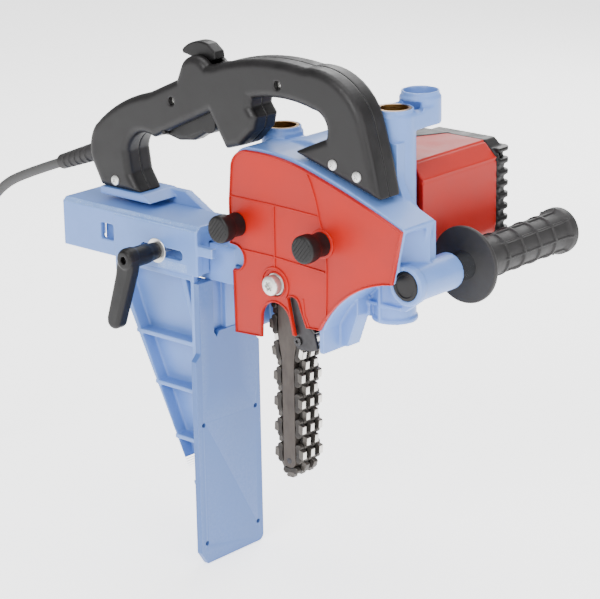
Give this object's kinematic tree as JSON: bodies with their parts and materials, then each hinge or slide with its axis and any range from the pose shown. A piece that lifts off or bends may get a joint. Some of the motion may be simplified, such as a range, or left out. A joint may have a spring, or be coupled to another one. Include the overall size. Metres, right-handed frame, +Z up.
{
  "type": "chain mortiser",
  "caption": "Hand-held electric chain mortiser: chain on a guide bar behind a red cover, blue castings with guide columns, sliding fence, bow handle, side handle and cord.",
  "frame": {"origin": "centre of the right guide column's lower mouth, on the bore axis", "axes": "+Z up along the guide columns, +Y back along the motor, +X to the right of someone facing the chain cover"},
  "size_m": [0.7425, 0.3169, 0.4673],
  "materials": {
    "powder_coated_casting": "satin",
    "red_plastic": "satin",
    "black_plastic": "satin",
    "rubber": "matte",
    "cord_rubber": "matte",
    "chain_steel": "dark",
    "hardened_steel": "ground",
    "zinc_plated_steel": "bright",
    "bush_bronze": "machined",
    "chromed_steel": "polished",
    "electrical_steel": "laminated",
    "copper": "machined",
    "carbon": "matte"
  },
  "bodies": {
    "machine": {"bar_bolt": "zinc_plated_steel", "bar_spacer": "zinc_plated_steel", "bar_washer": "zinc_plated_steel", "brush_holders": "black_plastic", "cable_boot": "rubber", "carbon_brushes": "carbon", "chain": "chain_steel", "cord": "cord_rubber", "cord_coil": "cord_rubber", "cord_tie": "black_plastic", "deflector_pin": "zinc_plated_steel", "fan_cap": "black_plastic", "gearcase_plate": "powder_coated_casting", "guide_bar": "hardened_steel", "guide_bush_left_lower": "bush_bronze", "guide_bush_left_upper": "bush_bronze", "guide_bush_right_lower": "bush_bronze", "guide_bush_right_upper": "bush_bronze", "handle_foot_screws": "zinc_plated_steel", "handle_shell_front": "black_plastic", "handle_shell_rear": "black_plastic", "handle_shell_screws": "zinc_plated_steel", "lock_pin": "zinc_plated_steel", "main_casting": "powder_coated_casting", "motor_bearing_front": "hardened_steel", "motor_bearing_rear": "hardened_steel", "motor_housing": "red_plastic", "nose_pin": "hardened_steel", "output_bearing_front": "hardened_steel", "output_bearing_rear": "hardened_steel", "plug": "black_plastic", "side_grip": "rubber", "side_handle_tube": "chromed_steel", "stator": "electrical_steel", "support_arm": "powder_coated_casting", "switch_module": "black_plastic", "trigger_pin": "zinc_plated_steel", "tube_end_plug": "black_plastic"},
    "cover": {"chain_cover": "red_plastic"},
    "knob_left": {"cover_knob_left": "black_plastic"},
    "knob_right": {"cover_knob_right": "black_plastic"},
    "output": {"output_shaft": "hardened_steel", "drive_gear": "hardened_steel", "sprocket": "chain_steel", "sprocket_nut": "zinc_plated_steel"},
    "armature": {"armature_shaft": "hardened_steel", "motor_pinion": "hardened_steel", "armature_core": "electrical_steel", "commutator": "copper", "cooling_fan": "black_plastic"},
    "nose": {"nose_roller": "hardened_steel"},
    "trigger": {"trigger": "black_plastic"},
    "lock_lever": {"lock_lever": "black_plastic"},
    "fence": {"fence_carriage": "powder_coated_casting", "fence_bracket": "powder_coated_casting", "fence_plate": "powder_coated_casting"},
    "clamp_lever": {"clamp_lever": "black_plastic"},
    "chip_deflector": {"chip_deflector": "chain_steel"}
  },
  "joints": [
    {"name": "cover_slide", "type": "slide", "parent": "machine", "child": "cover", "axis": [0, -1, 0], "range_m": [0, 0.04]},
    {"name": "knob_left_turn", "type": "hinge", "parent": "cover", "child": "knob_left", "pos_m": [-0.126, -0.066, 0.072], "axis": [0, 1, 0], "continuous": true},
    {"name": "knob_right_turn", "type": "hinge", "parent": "cover", "child": "knob_right", "pos_m": [-0.0305, -0.066, 0.072], "axis": [0, 1, 0], "continuous": true},
    {"name": "output_spin", "type": "hinge", "parent": "machine", "child": "output", "pos_m": [-0.0822, -0.006, 0.077], "axis": [0, 1, 0], "continuous": true},
    {"name": "armature_spin", "type": "hinge", "parent": "machine", "child": "armature", "pos_m": [-0.028, 0.074, 0.08635], "axis": [0, 1, 0], "continuous": true},
    {"name": "nose_spin", "type": "hinge", "parent": "machine", "child": "nose", "pos_m": [-0.0822, -0.0315, -0.135], "axis": [0, 1, 0], "continuous": true},
    {"name": "trigger_pull", "type": "hinge", "parent": "machine", "child": "trigger", "pos_m": [-0.217, -0.034, 0.1365], "axis": [0, -1, 0], "range_deg": [0, 6], "stiffness_Nm_per_rad": 1.5, "springref_deg": -4.58},
    {"name": "lock_press", "type": "hinge", "parent": "machine", "child": "lock_lever", "pos_m": [-0.1785, -0.034, 0.196], "axis": [0, -1, 0], "range_deg": [0, 6], "stiffness_Nm_per_rad": 0.5, "springref_deg": -5.73},
    {"name": "fence_slide", "type": "slide", "parent": "machine", "child": "fence", "axis": [1, 0, 0], "range_m": [-0.025, 0.012]},
    {"name": "clamp_turn", "type": "hinge", "parent": "machine", "child": "clamp_lever", "pos_m": [-0.213, -0.086, 0.0355], "axis": [0, 1, 0], "range_deg": [-60, 60]},
    {"name": "deflector_tilt", "type": "hinge", "parent": "machine", "child": "chip_deflector", "pos_m": [-0.0614, -0.051, -0.0194], "axis": [0, 1, 0], "range_deg": [-8, 4]}
  ],
  "couplings": [
    {"joint": "armature_spin", "follows": "output_spin", "ratio": -3.8889},
    {"joint": "nose_spin", "follows": "output_spin", "ratio": 1.9286}
  ]
}
